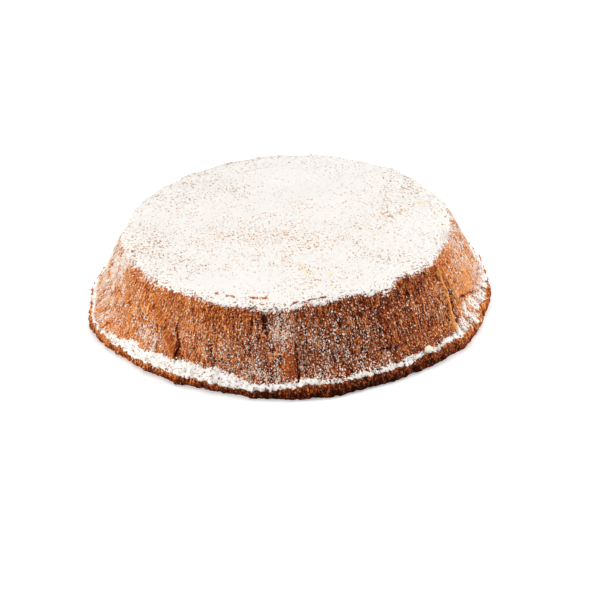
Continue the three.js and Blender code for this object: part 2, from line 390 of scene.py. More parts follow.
# Fine relief: its noises, how deep the pits are by theirs, what bare strips lose, where it starts and ends
relief = {"wall": [(0.26, 1.5, 3.0, 1, 2), (0.182, 3.8, 2.2, 2, 1), (0.14, 1.6, 1, 3, 2)],
          "rim": [(0.6, 2.8, 1, 5, 2), (0.36, 1.5, 1, 6, 1)], "top": [(0.2, 1.6, 1, 3, 2)],
          "pits": [(1.0, 1.6, 1.5, 4, 1)], "pitDepth": (0.55, 0.4, 0.95), "bareLoss": 0.7,
          "rimStart": (-0.5, 2.0), "rimEnd": 1.0, "wallStart": 2.0}


# Height of the fine relief: streaks and pits on the wall, lumps on the rim, crumb on the top, with the ridges
# and bumps, less the crevices and cracks
def fineRelief(along, angle):
    fall = fallLine(angle, along)
    bare, ridge, crevice, crack = wallMarks(along, angle)
    onTop = ease(along, mark["shoulder"], mark["top"])
    onWall = ease(along, mark["lip"], mark["ledge"] + relief["wallStart"]) * (1 - onTop)
    onRim = ease(along - mark["foot"], *relief["rimStart"])
    onRim = onRim * (1 - ease(along, mark["lip"], mark["ledge"] + relief["rimEnd"]))
    wall = grain(relief["wall"], *fall) - rises(grain(relief["pits"], *fall), relief["pitDepth"])
    out = onWall * (1 - relief["bareLoss"] * bare) * wall
    out = out + onRim * grain(relief["rim"], *fall) + onTop * grain(relief["top"], *fall)
    return out + ridge + patchSum(bumps, angle, heightAt(along)) - crevice - crack


# Finished crust: the baked case with its fine relief along the normal, and nothing below the ground
def crust(column, along):
    place, angle = baked(column, along)
    normal = outward(column, along)
    place = place + normal * fineRelief(along, angle)[..., None]
    place[..., 2] = np.maximum(place[..., 2], 0)
    return place, normal, angle


# Puts points (mm) and faces into a mesh object, smooth shaded, with point attributes
def addPiece(name, points, faces, material, attributes=None):
    mesh = bpy.data.meshes.new(name)
    mesh.from_pydata(points.reshape(-1, 3) * mm, [], faces)
    mesh.polygons.foreach_set("use_smooth", np.ones(len(mesh.polygons), bool))
    for label, values in (attributes or {}).items():
        vector = np.ndim(values) > 1
        layer = mesh.attributes.new(label, "FLOAT_VECTOR" if vector else "FLOAT", "POINT")
        layer.data.foreach_set("vector" if vector else "value", np.ravel(values).astype(np.float32))
    mesh.materials.append(material)
    mesh.update()
    piece = bpy.data.objects.new(name, mesh)
    bpy.context.scene.collection.objects.link(piece)
    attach(piece, "root")
    print(name, len(mesh.vertices), "points", len(mesh.polygons), "faces")
    return piece


# Quads between two closed rings of point numbers
def ringQuads(low, high):
    return np.stack([low, np.roll(low, -1, -1), np.roll(high, -1, -1), high], -1).reshape(-1, 4).tolist()


# Quads between rows of a grid that closes round its columns
def wrapQuads(rows, columns, start=0):
    index = start + np.arange(rows * columns).reshape(rows, columns)
    return ringQuads(index[:-1], index[1:])


# Triangles from a closed ring to one point; up turns them to face +Z
def fan(ring, centre, up):
    following = np.roll(ring, -1)
    pair = (ring, following) if up else (following, ring)
    return np.stack([*pair, np.full(len(ring), centre)], -1).tolist()


print("crust functions ready")


# Node helpers for the finishes
class Finish:
    def __init__(self, name):
        self.material = bpy.data.materials.new(name)
        self.material.use_nodes = True
        self.nodes = self.material.node_tree.nodes
        self.links = self.material.node_tree.links
        self.shader = self.nodes["Principled BSDF"]

    def give(self, socket, value):  # links another socket, or sets a number, a vector or a colour
        if isinstance(value, bpy.types.NodeSocket):
            self.links.new(value, socket)
        elif np.ndim(value) and len(socket.default_value) == 4:
            socket.default_value = (*value, 1)
        else:
            socket.default_value = value

    def wear(self, socket, value):
        self.give(self.shader.inputs[socket], value)

    def add(self, kind, inputs=None, **settings):
        node = self.nodes.new("ShaderNode" + kind)
        for key, value in settings.items():
            setattr(node, key, value)
        for key, value in (inputs or {}).items():
            self.give(node.inputs[key], value)
        return node

    def attribute(self, name, output="Fac"):
        return self.add("Attribute", attribute_name=name).outputs[output]

    def drawnOut(self, vector, stretch):
        return self.add("Mapping", {"Vector": vector, "Scale": (1.0, 1.0, stretch)}).outputs["Vector"]

    def noise(self, vector, scale, detail, roughness):
        inputs = {"Vector": vector, "Scale": scale, "Detail": detail, "Roughness": roughness}
        return self.add("TexNoise", inputs).outputs["Fac"]

    def maths(self, operation, a, b, clamp=False):
        return self.add("Math", {0: a, 1: b}, operation=operation, use_clamp=clamp).outputs[0]

    def plus(self, a, b, clamp=False):
        return self.maths("ADD", a, b, clamp)

    def minus(self, a, b):
        return self.maths("SUBTRACT", a, b)

    def times(self, a, b):
        return self.maths("MULTIPLY", a, b)

    def remap(self, value, low, high, toLow=0.0, toHigh=1.0):
        inputs = {"Value": value, "From Min": low, "From Max": high, "To Min": toLow, "To Max": toHigh}
        return self.add("MapRange", inputs, interpolation_type="SMOOTHSTEP").outputs["Result"]

    def cover(self, noise, share, start, gain, soft, most):  # more of it shows as the share grows
        low = self.minus(start, self.times(share, gain))
        return self.remap(noise, low, self.plus(low, soft), 0.0, most)

    def mix(self, factor, a, b):
        return self.add("Mix", {0: factor, 6: a, 7: b}, data_type="RGBA").outputs[2]

    def ramp(self, factor, stops):
        node = self.add("ValToRGB", {"Fac": factor})
        elements = node.color_ramp.elements
        while len(elements) < len(stops):
            elements.new(1.0)
        for element, (place, colour) in zip(elements, stops):
            element.position, element.color = place, (*colour, 1)
        return node.outputs["Color"]

    def bump(self, height, distance, strength):
        node = self.add("Bump", {"Height": height, "Distance": distance, "Strength": strength})
        self.wear("Normal", node.outputs["Normal"])


# Look of the crust: noises as scale, detail and roughness, with how far they are drawn out down the wall
pastryLook = {
    "streak": ((1.4, 2.0, 0.6), 0.55), "groove": ((1.0, 1.0, 0.5), 0.14), "pore": ((1.4, 0.0, 0.5), 0.8),
    "cover": ((1.5, 1.0, 0.5), 0.75), "combed": ((1.4, 1.0, 0.5), 0.18), "patch": (0.08, 3.0, 0.55),
    "patchShare": 0.5, "grooveShare": 0.6, "fibre": (3.2, 1.1),
    # palest stops give painted highlights, darkest give painted shade in crevices, cracks and under the rim
    "toastAndShadeColours": [(0.0, (0.87, 0.385, 0.125)), (0.08, (0.72, 0.245, 0.065)), (0.3, (0.56, 0.143, 0.036)),
               (0.6, (0.335, 0.059, 0.013)), (0.85, (0.14, 0.02, 0.004)), (1.0, (0.03, 0.005, 0.0015))],
    # pores: their colour is painted shade in the pits, stronger where the crust is darker
    "pores": (0.575, 0.66), "poreShadeByToast": (0.25, 0.6, 0.35, 0.95), "poreShadeColour": (0.06, 0.011, 0.003),
    "film": (0.71, 0.3, 0.08, 0.8), "speckStretch": 0.85, "speckScale": 0.72, "speckSpread": 0.9,
    "speckSize": (0.19, 0.2, 0.1), "speckGain": 1.3, "speckFade": 0.08,
    "powder": (0.93, 0.75, 0.60), "combedPowder": (0.95, 0.88, 0.81), "speckWhite": (0.97, 0.94, 0.91),
    "roughness": (0.0, 0.8, 0.7, 0.95), "specular": 0.05,
    "streakBump": 0.7, "poreBump": (0.5, 0.7, 0.0, 0.5), "dustBump": 0.5, "bump": (0.5 * mm, 0.9),
}


# Baked shortcrust: light to dark by how toasted it is, with painted shade and highlight in that, and painted
# shade in its pores, under specks and a film of sugar
def pastryFinish():
    coat, look = Finish("bakedShortcrust"), pastryLook
    fall, veil, comb = coat.attribute("fall", "Vector"), coat.attribute("veil"), coat.attribute("comb")
    down = {}
    for name in ("streak", "groove", "pore", "cover", "combed"):
        noise, stretch = look[name]
        down[name] = coat.noise(coat.drawnOut(fall, stretch), *noise)
    # each noise lies about 0.5, so that is taken off to lighten as much as darken
    patchy = coat.times(coat.minus(coat.noise(fall, *look["patch"]), 0.5), look["patchShare"])
    fibre = coat.times(coat.minus(0.5, down["groove"]), look["grooveShare"])
    fibre = coat.plus(coat.minus(0.5, down["streak"]), fibre)
    fibre = coat.times(fibre, coat.remap(coat.attribute("bare"), 0.0, 1.0, *look["fibre"]))
    toastAndShade = coat.plus(coat.plus(coat.attribute("toastAndShade"), patchy), fibre, True)
    # painted shade in the pores, stronger where the crust is darker
    dark = coat.remap(coat.attribute("toastAndShade"), *look["poreShadeByToast"])
    dark = coat.times(coat.remap(down["pore"], *look["pores"]), dark)
    colour = coat.mix(dark, coat.ramp(toastAndShade, look["toastAndShadeColours"]), look["poreShadeColour"])

    combed = coat.times(coat.minus(down["combed"], down["cover"]), comb)
    film = coat.cover(coat.plus(down["cover"], combed), veil, *look["film"])
    speck = coat.add("TexVoronoi", {"Vector": coat.drawnOut(fall, look["speckStretch"]),
                                    "Scale": look["speckScale"], "Randomness": look["speckSpread"]})
    chance = coat.add("SeparateColor", {"Color": speck.outputs["Color"]}).outputs
    small, varies, soft = look["speckSize"]
    size = coat.plus(coat.times(chance["Green"], varies), small)
    present = coat.minus(coat.times(veil, look["speckGain"]), chance["Red"])
    dot = coat.remap(speck.outputs["Distance"], coat.minus(size, soft), size, 1.0, 0.0)
    dot = coat.times(dot, coat.remap(present, 0.0, look["speckFade"]))
    dust = coat.maths("MAXIMUM", film, dot)
    powder = coat.mix(comb, look["powder"], look["combedPowder"])
    coat.wear("Base Color", coat.mix(dot, coat.mix(film, colour, powder), look["speckWhite"]))
    coat.wear("Roughness", coat.remap(dust, *look["roughness"]))
    coat.wear("Specular IOR Level", look["specular"])
    pitted = coat.remap(down["pore"], *look["poreBump"])
    height = coat.minus(coat.times(down["streak"], look["streakBump"]), pitted)
    coat.bump(coat.plus(height, coat.times(dust, look["dustBump"])), *look["bump"])
    return coat.material


# Look of the sugar: noises as scale, detail and roughness
sugarLook = {
    "powder": (1900.0, 2.0, 0.6), "clump": (760.0, 2.0, 0.6),
    "spots": (0.70, 0.3, 0.08, 0.95), "spotBump": 0.6, "butter": (0.93, 0.80, 0.42),
    "crusts": ((0.58, 0.25, 0.03), (0.17, 0.055, 0.012)),
    "roughness": 0.93, "specular": 0.1, "bump": (0.3 * mm, 0.6),
    "white": (0.93, 0.90, 0.87), "looseWhite": (0.93, 0.86, 0.78),
}


# Icing sugar: of the given white, with spots of crust where it lies thin, and warm where butter came through
def sugarFinish(name, white):
    coat, look = Finish(name), sugarLook
    place = coat.add("TexCoord").outputs["Object"]
    spots = coat.cover(coat.noise(place, *look["clump"]), coat.attribute("thin"), *look["spots"])
    sugarColour = coat.mix(coat.attribute("warm"), white, look["butter"])
    crustColour = coat.mix(coat.attribute("brown"), *look["crusts"])
    coat.wear("Base Color", coat.mix(spots, sugarColour, crustColour))
    coat.wear("Roughness", look["roughness"])
    coat.wear("Specular IOR Level", look["specular"])
    powder = coat.noise(place, *look["powder"])
    coat.bump(coat.minus(powder, coat.times(spots, look["spotBump"])), *look["bump"])
    return coat.material


# Speckled through and through, from dark to pale, with a fine grain
def grainyFinish(name, look):
    coat = Finish(name)
    tone = coat.noise(coat.add("TexCoord").outputs["Object"], *look["grain"])
    coat.wear("Base Color", coat.ramp(tone, look["colours"]))
    coat.wear("Roughness", look["roughness"])
    coat.bump(tone, *look["bump"])
    return coat.material


# Dried ricotta cream, a little waxy, and toasted crumbs of the crust
creamLook = {"grain": (900.0, 2.0, 0.6), "roughness": 0.55, "bump": (0.2 * mm, 0.5),
             "colours": [(0.35, (0.90, 0.80, 0.62)), (0.6, (0.94, 0.89, 0.78))]}
crumbLook = {"grain": (700.0, 2.0, 0.6), "roughness": 0.75, "bump": (0.3 * mm, 0.6),
             "colours": [(0.3, (0.10, 0.018, 0.005)), (0.5, (0.28, 0.065, 0.014)), (0.7, (0.55, 0.19, 0.05))]}

pastry = pastryFinish()
cream, crumb = grainyFinish("ricottaCream", creamLook), grainyFinish("crustCrumb", crumbLook)
sugar = sugarFinish("icingSugar", sugarLook["white"])
looseSugar = sugarFinish("looseSugar", sugarLook["looseWhite"])  # loose grains let the crust's colour through
print("finishes ready")

# Dusting on the wall: angle and share of the crust that is dusted, read round the cake
veilRound = [(-180, 0.72), (-165, 0.66), (-156, 0.5), (-150, 0.36), (-144, 0.23), (-136, 0.26),
             (-124, 0.32), (-112, 0.36), (-100, 0.37), (-92, 0.42), (-84, 0.42), (-72, 0.3), (-60, 0.22),
             (-45, 0.17), (-36, 0.24), (-26, 0.29), (-10, 0.6), (10, 0.62), (40, 0.45), (80, 0.36),
             (120, 0.4), (150, 0.55), (180, 0.72)]
# Patches with more of it, or less: angle, height, share, half width in mm, half height in mm
veilPatches = [(-94, 40, 0.45, 6, 8), (-137.5, 19, 0.4, 11, 8), (-84, 14, 0.1, 12, 6),
               (-20, 42, 0.3, 14, 8), (-33, 22, 0.2, 2, 12), (-30.6, 36, 0.2, 2, 9),
               (-104, 13, 0.25, 14, 4), (-112, 37, -0.16, 20, 9), (-70, 12, 0.2, 9, 3),
               (-165, 36, 0.22, 16, 13), (36, 34, 0.3, 9, 8), (138, 36, 0.3, 9, 9)]
# Patches where the sugar lies in streaks down the wall, with the same measures
combPatches = [(-170, 28, 1.0, 28, 34), (-137.5, 20, 1.0, 14, 12), (-12, 26, 0.9, 24, 30),
               (34, 26, 0.7, 24, 26), (92, 30, 0.6, 18, 24), (142, 26, 0.8, 24, 28)]
# What alters it: the loss under the top edge with its height and spread in mm, the shares over which that
# loss ends, where the wall's dusting starts at the lip, what the rim and bare strips lose, and its noises
dusting = {"head": (0.6, 45, 7), "headFull": (0.4, 0.6), "lip": (-0.5, 1.5), "rimLoss": 0.97,
           "bareLoss": 0.95, "uneven": [(0.35, 6, 1, 33, 2), (0.3, 2.5, 4, 34, 1)]}

# How toasted the wall and the rim are, by angle: darker at the front partly as painted shade, and on the wall
# lighter on the fold near -34 degrees as a painted highlight
toastAndShadeRound = [(-180, 0.08), (-160, 0.1), (-150, 0.17), (-130, 0.3), (-115, 0.4), (-108, 0.43), (-100, 0.54),
              (-85, 0.6), (-72, 0.63), (-60, 0.62), (-50, 0.55), (-45, 0.54), (-39, 0.48), (-36, 0.28),
              (-33, 0.22), (-28, 0.25), (-24, 0.16), (-18, 0.06), (0, 0.16), (60, 0.42), (120, 0.36),
              (180, 0.08)]
# Rim by angle: darker at the front, partly a browner crust, partly painted shade
rimToastAndShadeRound = [(-180, 0.12), (-150, 0.15), (-130, 0.34), (-110, 0.6), (-90, 0.72), (-70, 0.82),
                 (-50, 0.82), (-38, 0.45), (-28, 0.24), (0, 0.24), (40, 0.5), (90, 0.62), (140, 0.4),
                 (180, 0.12)]
# What alters it: more under the top edge with its height and spread in mm, more or less by what marks the
# wall (a painted highlight on bare strips and ridges, painted shade in crevices and cracks), where the rim
# ends at the lip, more low on the rim over a band of heights, partly a browner baked edge and partly painted
# shade under the rim, and what the top has
toastAndShadeTerms = {"head": (0.1, 43, 5), "marks": (-0.08, -0.6, 0.75, 0.75), "lip": -0.5, "foot": 0.38,
            "footShadeBand": (3.0, 7.0), "top": 0.3, "topBand": (-3, 3)}


# Share of the crust under sugar: by angle, less under the top edge where it is thin, more or less in the
# patches, uneven, and little on bare strips, lines, cracks and the rim
def veilShare(along, angle):
    height = heightAt(along)
    share = readRound(veilRound, angle)
    loss, middle, spread = dusting["head"]
    share = share * (1 - loss * bell((height - middle) / spread) * (1 - ease(share, *dusting["headFull"])))
    share = share + patchSum(veilPatches, angle, height)
    share = share * (1 + grain(dusting["uneven"], *fallLine(angle, along)))
    bare = np.minimum(sum(wallMarks(along, angle)), 1)
    onRim = 1 - ease(along - mark["lip"], *dusting["lip"])
    return np.clip(share * (1 - dusting["bareLoss"] * bare) * (1 - dusting["rimLoss"] * onRim), 0, 1)


# How toasted: by angle, more under the top edge, more in crevices and cracks as painted shade, less on ridges
# and bare strips as a painted highlight, and on the rim by its own angles, darker low down, partly as painted
# shade under the rim
def toastAndShadeShare(along, angle):
    height = heightAt(along)
    more, middle, spread = toastAndShadeTerms["head"]
    wall = readRound(toastAndShadeRound, angle) + more * bell((height - middle) / spread)
    # painted highlight on bare strips and ridges, painted shade in crevices and cracks
    wall = wall + sum(by * amount for by, amount in zip(toastAndShadeTerms["marks"], wallMarks(along, angle)))
    # darker low on the rim: partly a browner baked edge, partly painted shade under the rim
    rim = readRound(rimToastAndShadeRound, angle) + toastAndShadeTerms["foot"] * (1 - ease(height, *toastAndShadeTerms["footShadeBand"]))
    onRim = 1 - ease(along, mark["lip"] + toastAndShadeTerms["lip"], mark["ledge"])
    onTop = ease(along - mark["top"], *toastAndShadeTerms["topBand"])
    return (wall + (rim - wall) * onRim) * (1 - onTop) + toastAndShadeTerms["top"] * onTop


# Grid of the case: columns, how far they gather at the pleats, rows on each stretch of the section, and
# what the middles of the foot and the top have
pastryGrid = {"columns": 960, "gather": 0.5, "gatherSpread": 4.0,
              "rows": {"foot": 2, "belly": 9, "brow": 4, "lip": 5, "ledge": 7, "shoulder": 52, "top": 13,
                       "crown": 9},
              "poleFall": [(0, 0, -99), (0, 0, 99)],
              "poleShares": {"veil": 0, "bare": 0, "comb": 0, "toastAndShade": 0.4}}


# Columns of the grid: even, then moved towards the pleats so that each fold has enough of them
def gatheredColumns(count):
    even = np.arange(count) * 360 / count - 180
    moved = even.copy()
    for foot in pleats[:, 0]:
        away = turn(foot, even)
        moved -= pastryGrid["gather"] * away * bell(away / pastryGrid["gatherSpread"])
    return moved


# Closed case: the finished crust on a grid of columns and steps along the section, with a point at each pole
def makePastryCase():
    stops, start = [], 0.0
    for name, steps in pastryGrid["rows"].items():
        stops.append(np.linspace(start, mark[name], steps, endpoint=False))
        start = mark[name]
    column, along = np.meshgrid(gatheredColumns(pastryGrid["columns"]), np.concatenate(stops)[1:])
    place = crust(column, along)[0]
    place[0, :, 2] = 0  # the innermost ring of the foot lies on the ground
    poles = np.array([(0, 0, 0), baked(np.zeros(1), np.full(1, mark["crown"]))[0][0]])
    points = np.concatenate([place.reshape(-1, 3), poles])
    rows, count = column.shape
    faces = wrapQuads(rows, count)
    faces += fan(np.arange(count), rows * count, False)
    faces += fan(np.arange(count) + (rows - 1) * count, rows * count + 1, True)

    angle, height = baked(column, along)[1], heightAt(along)
    fall = np.stack(fallLine(angle, along), -1).reshape(-1, 3)
    shares = {"veil": veilShare(along, angle), "bare": bareness(angle, height),
              "comb": np.clip(patchSum(combPatches, angle, height), 0, 1), "toastAndShade": toastAndShadeShare(along, angle)}
    attributes = {"fall": np.concatenate([fall, pastryGrid["poleFall"]])}
    for name, pole in pastryGrid["poleShares"].items():
        attributes[name] = np.append(shares[name], (pole, pole))
    piece = addPiece("pastryCase", points, faces, pastry, attributes)
    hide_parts("cake")


makePastryCase()

# Film of sugar on the top: its sheet, its noises, its mm of thickness by how far inside its edge, and how
# much crust shows through it and how brown
topFilm = {
    "side": 304, "gather": 0.75, "past": 9.0, "sunk": 0.7, "under": 2.0,
    "ringShares": (0.985, 0.95, 0.8, 0.45), "ragged": [(0.9, 4.5, 1, 11, 2), (0.9, 1.5, 1, 12, 1)],
    "worn": [(0.12, 24, 1, 16, 3), (0.1, 7, 1, 18, 2)],
    "uneven": [(0.26, 1.6, 1, 15, 2), (0.1, 0.9, 1, 17, 1)],
    "dip": 0.45, "rises": [(0.45, -1.2, 0.0), (0.45, -0.6, 1.2), (0.3, 1, 11)], "wornLoss": (0.8, 0, 6),
    "bankSpread": 7, "broken": ((-1.0, 0.5), (2.5, 8)),
    "thin": 0.64, "thinInside": (-0.12, 1, 6), "thinThick": (-0.14, 0.0, 0.4),
    "brown": 0.05, "brownOut": (0.25, 35, 85), "brownMiddle": (0, -15), "edgeToastAndShade": 1.4, "edgeBand": (1, 9),
}
# How far the film reaches out over the edge, by angle, in mm
reachRound = [(-180, 6), (-168, 5.2), (-158, 4.6), (-151, 3.8), (-143, 5.0), (-138, 6.6), (-132, 4.4),
              (-128, 3.8), (-122, 4.4), (-118, 3.6), (-113, 6.2), (-107, 5.1), (-101, 6.6), (-95, 7.7),
              (-92, 7.0), (-88, 6.0), (-85, 4.7), (-80, 6.2), (-75, 4.4), (-67, 4.9), (-60, 6.4), (-57, 7),
              (-49, 1.9), (-42, 4.2), (-27, 3.4), (-15, 3.8), (-7, 2.7), (10, 5), (24, 7), (40, 4), (62, 6),
              (80, 4.4), (100, 6.6), (118, 3.8), (136, 6), (152, 4), (166, 6.5), (180, 6)]
# How ragged the edge is, by angle
raggedRound = [(-180, 1.2), (-150, 1.6), (-125, 1.5), (-115, 0.9), (-90, 0.8), (-72, 1.0), (-55, 1.6),
               (-30, 1.4), (0, 1.0), (50, 1.5), (110, 0.9), (180, 1.2)]
# Where the film is broken up along its edge: angle, mm less of it, spread in degrees
breaks = [(-160, 0.36, 9), (-145, 0.3, 9), (-128, 0.24, 9), (-50, 0.24, 8), (-18, 0.36, 10), (18, 0.3, 10),
          (125, 0.3, 9)]
# Sugar banked up over the flats of the far edge: angle, mm, spread in degrees
banks = [(5, 0.4, 7), (30, 0.3, 9), (62, 0.5, 6), (81, 0.9, 8), (96, 1.0, 8), (112, 1.0, 11), (143, 1.2, 8),
         (163, 1.3, 10)]
# Cracks through the film near its edge: angle, and mm out from where the top begins
seams = [[(-119, -5.2), (-113, -2), (-107, -3.3), (-103, -3.1), (-97, -3.9)],
         [(-93, 6.6), (-92.2, 6.2), (-90.2, 3.2), (-87.5, 2.1), (-84.4, 3.4), (-82.2, 2.3), (-77, 1.2)],
         [(36, 2), (44, 4), (51, 2.6)], [(128, 7), (137, 5.5), (146, 7.2)]]
seamShape = {"depth": 1.1, "half": 1.1, "wander": [(0.6, 3, 1, 20, 1)], "gaps": [(1.0, 2.5, 1, 19, 1)],
             "gapBand": (-0.9, 0.1)}
# Where the film is worn thin or lies thick, where the crust under it is browner, and yellow spots where
# butter came through: x, y, how much, half widths in mm
wornPatches = [(-15, -14, 0.2, 42, 14), (-86, -16, 0.15, 14, 42), (30, -27, 0.16, 26, 9),
               (-38, 44, 0.1, 32, 16), (20, 40, -0.2, 34, 22), (-30, -70, -0.12, 30, 12),
               (55, -50, 0.1, 16, 16), (66, 24, 0.16, 20, 26), (10, 70, -0.14, 45, 16)]
brownPatches = [(10, 75, 0.4, 70, 28)]
butterSpots = [(7.3, -54.3, 0.8, 2.0, 2.0), (10.1, -61.8, 0.8, 1.9, 1.9), (23.1, -64.5, 0.8, 1.8, 1.8),
               (80.5, 20.1, 0.8, 2.4, 2.4)]


# Sum of bells about points of the top
def topSum(patches, x, y):
    return sum(by * bell(np.hypot((x - atX) / wide, (y - atY) / deep))
               for atX, atY, by, wide, deep in patches)


# How far inside the film's outer edge a point lies, in mm: negative past it
def insideFilm(along, angle):
    return along - mark["top"] + readRound(reachRound, angle)


# How far the seams are open, 0 to 1: a bell across each wandering line, broken by noise
def seamShare(along, angle, axes):
    past = along - mark["top"] + grain(seamShape["wander"], *axes)
    total = 0
    for line in seams:
        at, out = zip(*line)
        share = within(angle, at[0], at[-1], *crackFades)
        total = total + share * bell((past + np.interp(angle, at, out)) / seamShape["half"])
    return total * ease(grain(seamShape["gaps"], *axes), *seamShape["gapBand"])


# Sheet lifted off the crust by the film's thickness, and under the crust wherever that is negative
def makeSugarTop():
    film, side = topFilm, topFilm["side"]
    u, v = np.meshgrid(np.linspace(-1, 1, side), np.linspace(-1, 1, side))
    x, y = u * np.sqrt(1 - v * v / 2), v * np.sqrt(1 - u * u / 2)  # elliptical map of the square on the disc
    column = np.degrees(np.arctan2(y, x))
    span = mark["crown"] - mark["shoulder"] + film["past"]
    along = mark["crown"] - np.minimum(np.hypot(x, y), 1) ** film["gather"] * span
    place, normal, angle = crust(column, along)
    axes = np.moveaxis(place, -1, 0)
    x, y = axes[:2]

    inside = insideFilm(along, angle) + grain(film["ragged"], *axes) * readRound(raggedRound, angle)
    worn = grain(film["worn"], x, y, 0) + topSum(wornPatches, x, y)
    thick = rises(inside, *film["rises"]) - film["dip"] - worn * rises(inside, film["wornLoss"])
    thick = thick + swell(banks, angle) * bell((along - mark["top"]) / film["bankSpread"])
    thick = thick - swell(breaks, angle) * within(inside, 0, 0, *film["broken"])
    thick = thick - seamShape["depth"] * seamShare(along, angle, axes) + grain(film["uneven"], *axes)
    thick = np.maximum(thick, -film["sunk"])

    index = np.arange(side * side).reshape(side, side)
    faces = np.stack([index[:-1, :-1], index[:-1, 1:], index[1:, 1:], index[1:, :-1]], -1)
    faces = faces.reshape(-1, 4).tolist()
    last = np.concatenate([index[0, :-1], index[:-1, -1], index[-1, :0:-1], index[:0:-1, 0]])
    layers, start = [(place + normal * thick[..., None]).reshape(-1, 3)], side * side
    rim = column.ravel()[last]
    for part in film["ringShares"]:  # rings under the crust close the sheet
        under, inward = crust(rim, np.full(len(rim), mark["crown"] - part * span))[:2]
        layers.append(under - inward * film["under"])
        current = start + np.arange(len(rim))
        faces += np.stack([last, current, np.roll(current, -1), np.roll(last, -1)], -1).tolist()
        start, last = start + len(rim), current
    layers.append(baked(np.zeros(1), np.full(1, mark["crown"]))[0] - (0, 0, film["under"]))
    faces += fan(last, start, False)
    points = np.concatenate(layers)

    thin = film["thin"] + rises(inside, film["thinInside"]) + rises(thick, film["thinThick"]) + worn
    fromMiddle = np.hypot(x - film["brownMiddle"][0], y - film["brownMiddle"][1])
    brown = film["brown"] + rises(fromMiddle, film["brownOut"]) + topSum(brownPatches, x, y)
    # browner crust near the film's edge, from the wall's table, with its painted shade at the front
    edgeBrownAndShade = film["edgeToastAndShade"] * readRound(toastAndShadeRound, angle) * (1 - ease(inside, *film["edgeBand"]))
    shares = {"thin": np.clip(thin, 0, 1), "warm": topSum(butterSpots, x, y),
              "brown": np.maximum(brown, edgeBrownAndShade)}
    hidden = np.zeros(len(points) - side * side)
    attributes = {name: np.append(share, hidden) for name, share in shares.items()}
    piece = addPiece("sugarTop", points, faces, sugar, attributes)


makeSugarTop()

# Drift of sugar on the ledge: its grid, its noises, its mm of thickness by how far inside its edges, and how
# much crust shows through it and how brown
ledgeDrift = {
    "columns": 1440, "rows": 45, "underRows": 4, "below": 6.5, "above": 14.0, "sunk": 0.7, "under": 1.4,
    "ragged": [(0.7, 3.2, 1, 21, 2), (0.9, 1.3, 1, 25, 1)], "raggedLoss": (0.8, 0.4, 1.8),
    "uneven": [(-0.12, 8, 1, 24, 1), (0.15, 1.4, 1, 22, 2), (0.1, 0.9, 1, 23, 1)],
    "streaks": [(1.1, 0.9, 8, 26, 1)], "streakLoss": 0.5,
    "dip": 0.4, "rises": [(0.4, -0.9, 0.3), (0.55, -0.3, 0.9)],
    "thin": 0.82, "thinThick": (-0.4, 0.0, 0.35), "brown": 0.3,
}
# Where it lies in streaks down the wall: angle, share, spread in degrees
streakedDrift = [(-25, 1.0, 8), (2, 0.6, 16)]
# Lower edge of the drift by angle, and its upper edge, both in mm above the rim's lip
driftLower = [(-180, -0.5), (-168, 0), (-158, -1.4), (-153, -2.3), (-146, -2.3), (-141, -4.2), (-135, -2.3),
              (-130, -3.6), (-124, -2.5), (-120, -3.3), (-114, -3.1), (-111, -3.8), (-107, -5.1),
              (-103, -4.6), (-98, -3.1), (-95, -2.9), (-90, -1.5), (-81.6, 0.7), (-76.6, -0.4),
              (-70.4, -1.0), (-66, -2.0), (-61.6, -0.1), (-57, -2.0), (-53, -0.5), (-50, 0.1), (-46, 0.3),
              (-40, -0.6), (-33, -1), (-20, -1), (-12, -1.6), (14, -2), (24, -0.8), (30, -2.6), (42, -1.4),
              (52, -3.2), (60, -0.6), (72, -2.8), (84, -4.2), (92, -2.2), (104, -3.6), (116, -1),
              (128, -2.6), (140, -0.4), (150, -2.4), (160, -3), (170, -0.8), (180, -0.5)]
driftUpper = [(-180, 4), (-172, 2), (-166, -0.5), (-158, -1.6), (-151.6, 1.4), (-147.6, 2.7), (-142.6, 5.3),
              (-137, 1.8), (-135, 4.8), (-132, 4.8), (-128, 4.4), (-126, 5.5), (-121, 5.9), (-116, 4.2),
              (-113, 5.7), (-109.6, 4.6), (-104, 1.5), (-101, 0.6), (-98, 0.1), (-95, 0.6), (-91, 0.8),
              (-89, 2.3), (-86, 3.0), (-84, 2.7), (-81, 1.5), (-77, 0.6), (-74, 1.1), (-70, 1.7),
              (-66, -0.2), (-62, 3.0), (-60, 0.7), (-56, 2.0), (-53, 1.6), (-50, 2.5), (-44, 1.4), (-38, 3),
              (-34, 4.6), (-31, 9.5), (-27, 12), (-24, 11.6), (-21, 10), (-17, 7), (-15, 5.4), (-12.8, 3.6),
              (-10, 2.8), (0, 1.6), (14, 1.4), (22, 3.6), (30, 4.4), (38, 2.2), (46, 3), (53, 5.2),
              (60, 2.6), (70, 3.8), (80, 1.6), (90, 4.6), (97, 5.6), (104, 2.4), (114, 3.2), (124, 5.4),
              (131, 2), (140, 3.4), (150, 1.8), (156, 5), (164, 2.6), (172, 3.2), (180, 4)]


